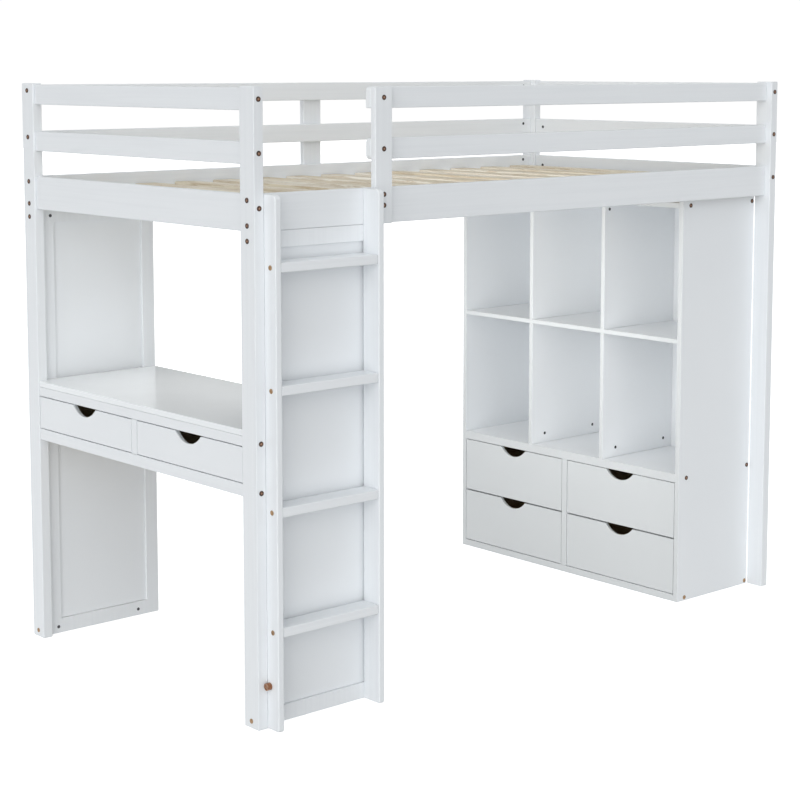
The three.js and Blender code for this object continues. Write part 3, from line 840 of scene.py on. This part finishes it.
panel_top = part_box("panel_frame_front")[1].z
for end in ("desk", "shelf"):
    out_x = "-x" if end == "desk" else "+x"
    for side in ("front", "back"):
        post = f"post_{end}_{side}"
        low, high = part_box(post)
        face_x = low.x if end == "desk" else high.x
        face_y = low.y if side == "front" else high.y
        out_y = "-y" if side == "front" else "+y"
        heights = [middle_z(f"{end}_end_guard_top"), middle_z(f"{end}_end_guard_mid")]
        heights.append(middle_z(f"{end}_end_bed_rail") + END_BOLT_RISE)
        if end == "desk":
            heights += [middle_z("desk_apron"), middle_z("desk_lower_rail")]
        for z in heights:
            fit(bolt, "bolt", post, out_y, ((low.x + high.x) / 2, face_y, z))
        rail_z = middle_z(f"{side}_side_rail")
        heights = [rail_z + BED_BOLT_SPREAD, rail_z - BED_BOLT_SPREAD]
        if (end, side) != ("desk", "front"):
            heights += [middle_z("back_guard_top") + GUARD_BOLT_RISE]
            heights += [middle_z("back_guard_mid") + GUARD_BOLT_RISE]
        if end == "desk":
            heights += [panel_top - PANEL_BOLT_DROP]
        for z in heights:
            fit(bolt, "bolt", post, out_x, (face_x, (low.y + high.y) / 2, z))
        if end == "desk":
            fit(screw, "bolt", post, out_x, (face_x, (low.y + high.y) / 2, PANEL_BOLT_FOOT))
print("bolts on posts:", sum(counts.values()))

# %% Bolts of the uprights, the ladder and the bookcase
SIDE_RAIL_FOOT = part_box("front_side_rail")[0].z
UPRIGHT_HOLD = (SIDE_RAIL_FOOT + 47 * MM, SIDE_RAIL_FOOT + 75 * MM)
for side, face, out in (("front", 0, "-y"), ("back", 1, "+y")):
    upright = f"{side}_guard_upright"
    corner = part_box(upright)
    x = (corner[0].x + corner[1].x) / 2
    heights = [middle_z(f"{side}_guard_top"), middle_z(f"{side}_guard_mid"), *UPRIGHT_HOLD]
    for z in heights:
        fit(bolt, "bolt", upright, out, (x, corner[face].y, z))

STILE_BOLT_BACK = 21 * MM     # front edge of a stile back to its rung bolts
for number in (1, 2, 3, 4):
    z = middle_z(f"ladder_rung_{number}")
    for stile, face, out in (("outer", 0, "-x"), ("inner", 1, "+x")):
        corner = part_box(f"ladder_stile_{stile}")
        place = (corner[face].x, corner[0].y + STILE_BOLT_BACK, z)
        fit(screw, "screw", f"ladder_stile_{stile}", out, place)

CASE_BOLT_FRONT = 34 * MM     # front edge of the bookcase's side back to its bolts
CASE_BOLT_BACK = 11 * MM
LOWEST_SCREW = 7.5 * MM       # no screw is nearer the floor, or its head would pass it
for side, face, out in (("front", 0, "-y"), ("back", 1, "+y")):
    board = f"bookcase_side_{side}"
    low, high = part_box(board)
    y = (low.y, high.y)[face]
    heights = [(middle_z("bookcase_top"), bolt), (middle_z("bookcase_deck"), bolt)]
    heights += [(max(middle_z("bookcase_base"), LOWEST_SCREW), screw)]
    for z, pattern in heights:
        for x in (low.x + CASE_BOLT_FRONT, high.x - CASE_BOLT_BACK):
            fit(pattern, "bolt", board, out, (x, y, z))
print("bolts in all:", sum(counts.values()))

# %% Barrel nuts
NUT_FROM_POST = 36 * MM
for end, inner, out in (("desk", 1, "+x"), ("shelf", 0, "-x")):
    for rail, rise in (("guard_top", 0), ("guard_mid", 0), ("bed_rail", END_BOLT_RISE)):
        node = f"{end}_end_{rail}"
        low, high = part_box(node)
        x = (low.x, high.x)[inner]
        for y in (low.y + NUT_FROM_POST, high.y - NUT_FROM_POST):
            fit(nut, "nut", node, out, (x, y, middle_z(node) + rise))
for side, inner, out in (("front", 1, "+y"), ("back", 0, "-y")):
    for rail, rises in (
        ("guard_top", (GUARD_BOLT_RISE,)),
        ("guard_mid", (GUARD_BOLT_RISE,)),
        ("side_rail", (BED_BOLT_SPREAD,)),
    ):
        node = f"{side}_{rail}"
        low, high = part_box(node)
        y = (low.y, high.y)[inner]
        ends = [high.x - NUT_FROM_POST]
        if side == "back" or rail == "side_rail":
            ends.append(low.x + NUT_FROM_POST)
        for x in ends:
            for rise in rises:
                fit(nut, "nut", node, out, (x, y, middle_z(node) + rise))

PANEL_NUT_IN = 31 * MM        # desk's edge of a panel in to its nuts
PANEL_NUT_FAR = 74 * MM       # and its other edge in to the nut there
for side, inner, out in (("front", 1, "+y"), ("back", 0, "-y")):
    node = f"panel_frame_{side}"
    low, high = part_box(node)
    y = (low.y, high.y)[inner]
    for x, z in (
        (low.x + PANEL_NUT_IN, high.z - PANEL_BOLT_DROP),
        (low.x + PANEL_NUT_IN, PANEL_BOLT_FOOT),
        (high.x - PANEL_NUT_FAR, PANEL_BOLT_FOOT),
    ):
        fit(nut, "nut", node, out, (x, y, z))

SHELF_NUT_FRONT = 61 * MM
SHELF_NUT_BACK = 40 * MM
SHELF_NUT_RISE = 31 * MM
TOP_NUT_IN = 20 * MM          # in from a divider's front, and down from the top board
deck_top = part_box("bookcase_deck")[1].z
case_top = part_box("bookcase_top")[0].z
for number in (1, 2):
    node = f"bookcase_divider_{number}"
    low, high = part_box(node)
    for x in (low.x + SHELF_NUT_FRONT, high.x - SHELF_NUT_BACK):
        fit(nut, "nut", node, "-y", (x, low.y, deck_top + SHELF_NUT_RISE))
    fit(nut, "nut", node, "-y", (low.x + TOP_NUT_IN, low.y, case_top - TOP_NUT_IN))
print("fittings in all:", sum(counts.values()))

# %% [markdown]
# ### The ladder's tie bolt
# Near the floor one larger bolt stands out of the stile and ties the ladder to the post.
# It starts as a cylinder; its cap is inset and pushed in, and the rim is rounded.

# %% Tie bolt
TIE_RADIUS = 9.2 * MM
TIE_LONG = 13 * MM
TIE_HIGH = 112 * MM
TIE_RIM = 3.2 * MM
TIE_CUP = 2.5 * MM
bpy.ops.object.select_all(action="DESELECT")
bpy.ops.mesh.primitive_cylinder_add(
    vertices=36, radius=TIE_RADIUS, depth=TIE_LONG, location=(0, 0, TIE_LONG / 2)
)
tie = bpy.context.object
tie.name = "tie_bolt"
settle(tie)
choose(tie, lambda p: p.z > TIE_LONG * 0.9)
bpy.ops.mesh.select_mode(type="FACE")
bpy.ops.mesh.inset(thickness=TIE_RIM)
pushed(-TIE_CUP)
bpy.ops.object.mode_set(mode="OBJECT")
tie_copper = plated("tie_copper", (0.20, 0.085, 0.04), (0.42, 0.20, 0.11), (0.35, 0.5))
tie.data.materials.append(tie_copper)
tie.data.materials.append(worn_bronze_and_highlight)
bevelled(tie, 0.8 * MM, 2)
# The cap's outward faces get the same lighter coppery coat as the bolts' sockets.
for face in tie.data.polygons:
    face.material_index = int(face.normal.z > 0.8)
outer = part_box("ladder_stile_outer")
post_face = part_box("post_desk_front")[0].y
tie_place = (outer[0].x, post_face - TIE_RADIUS - 0.5 * MM, TIE_HIGH)
tie_bolt = own_copy(tie, "ladder_tie_bolt", tie_place, FACING["-x"])
bpy.data.objects.remove(tie)
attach(tie_bolt, MAIN_BODY)
for pattern in (bolt, screw, nut):
    bpy.data.objects.remove(pattern)
print("tie bolt sticks out in mm:", TIE_LONG / MM)
